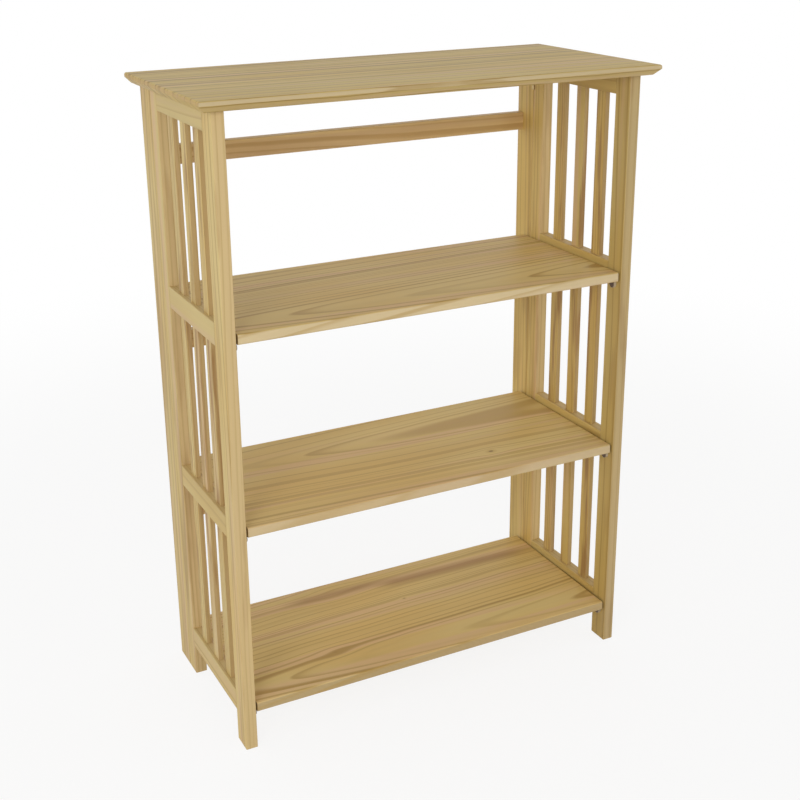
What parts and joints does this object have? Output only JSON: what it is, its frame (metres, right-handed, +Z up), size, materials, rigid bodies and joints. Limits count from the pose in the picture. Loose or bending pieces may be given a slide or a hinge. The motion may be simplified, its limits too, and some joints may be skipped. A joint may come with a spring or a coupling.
{
  "type": "folding bookcase",
  "caption": "Slatted pine bookcase whose shelves fold up, side frames fold in and top board flips over the back, so it stores flat.",
  "frame": {"origin": "on the floor, under the middle of the overall width and depth", "axes": "+X to the viewer's right seen from the front, +Y to the back, +Z up"},
  "size_m": [0.703, 0.3377, 0.9582],
  "materials": {
    "pine_frame": "satin lacquered pine",
    "pine_slat": "satin lacquered pine",
    "pine_board": "satin lacquered pine",
    "hinge_steel": "zinc plated",
    "screw_steel": "zinc plated",
    "dark_pin": "dark bronze, satin"
  },
  "bodies": {
    "back_frame": {"right_fold_hinge_post_leaves": "hinge_steel", "left_fold_hinge_post_leaves": "hinge_steel", "right_fold_hinge_pins": "hinge_steel", "left_fold_hinge_pins": "hinge_steel", "right_fold_hinge_post_screws": "screw_steel", "left_fold_hinge_post_screws": "screw_steel", "right_back_post": "pine_frame", "left_back_post": "pine_frame", "lower_back_rail": "pine_frame", "middle_back_rail": "pine_frame", "upper_back_rail": "pine_frame", "back_rail_brads": "screw_steel", "shelf_pivot_pins": "hinge_steel", "top_hinge_post_leaves": "hinge_steel", "top_hinge_pins": "hinge_steel", "top_hinge_post_screws": "screw_steel"},
    "right_side_frame": {"right_front_stile": "pine_frame", "right_rear_stile": "pine_frame", "right_bottom_rail": "pine_frame", "right_middle_rail": "pine_frame", "right_upper_rail": "pine_frame", "right_top_rail": "pine_frame", "right_lower_slats": "pine_slat", "right_middle_slats": "pine_slat", "right_upper_slats": "pine_slat", "right_support_pins": "dark_pin", "right_fold_hinge_frame_leaves": "hinge_steel", "right_fold_hinge_frame_screws": "screw_steel"},
    "left_side_frame": {"left_front_stile": "pine_frame", "left_rear_stile": "pine_frame", "left_bottom_rail": "pine_frame", "left_middle_rail": "pine_frame", "left_upper_rail": "pine_frame", "left_top_rail": "pine_frame", "left_lower_slats": "pine_slat", "left_middle_slats": "pine_slat", "left_upper_slats": "pine_slat", "left_support_pins": "dark_pin", "left_fold_hinge_frame_leaves": "hinge_steel", "left_fold_hinge_frame_screws": "screw_steel"},
    "bottom_shelf": {"bottom_shelf": "pine_board"},
    "middle_shelf": {"middle_shelf": "pine_board"},
    "upper_shelf": {"upper_shelf": "pine_board"},
    "top_board": {"top_board": "pine_board", "top_hinge_board_leaves": "hinge_steel", "top_hinge_board_screws": "screw_steel"}
  },
  "joints": [
    {"name": "bottom_shelf_fold", "type": "hinge", "parent": "back_frame", "child": "bottom_shelf", "pos_m": [0, 0.11935, 0.0649], "axis": [-1, 0, 0], "range_deg": [0, 90]},
    {"name": "middle_shelf_fold", "type": "hinge", "parent": "back_frame", "child": "middle_shelf", "pos_m": [0, 0.11935, 0.3514], "axis": [-1, 0, 0], "range_deg": [0, 90]},
    {"name": "upper_shelf_fold", "type": "hinge", "parent": "back_frame", "child": "upper_shelf", "pos_m": [0, 0.11935, 0.6379], "axis": [-1, 0, 0], "range_deg": [0, 90]},
    {"name": "top_board_fold", "type": "hinge", "parent": "back_frame", "child": "top_board", "pos_m": [0, 0.16535, 0.9507], "axis": [-1, 0, 0], "range_deg": [0, 270]},
    {"name": "left_side_fold", "type": "hinge", "parent": "back_frame", "child": "left_side_frame", "pos_m": [-0.3114, 0.10985, 0.47145], "axis": [0, 0, 1], "range_deg": [0, 0.6]},
    {"name": "right_side_fold", "type": "hinge", "parent": "back_frame", "child": "right_side_frame", "pos_m": [0.3114, 0.10985, 0.47145], "axis": [0, 0, -1], "range_deg": [0, 0.6]}
  ]
}
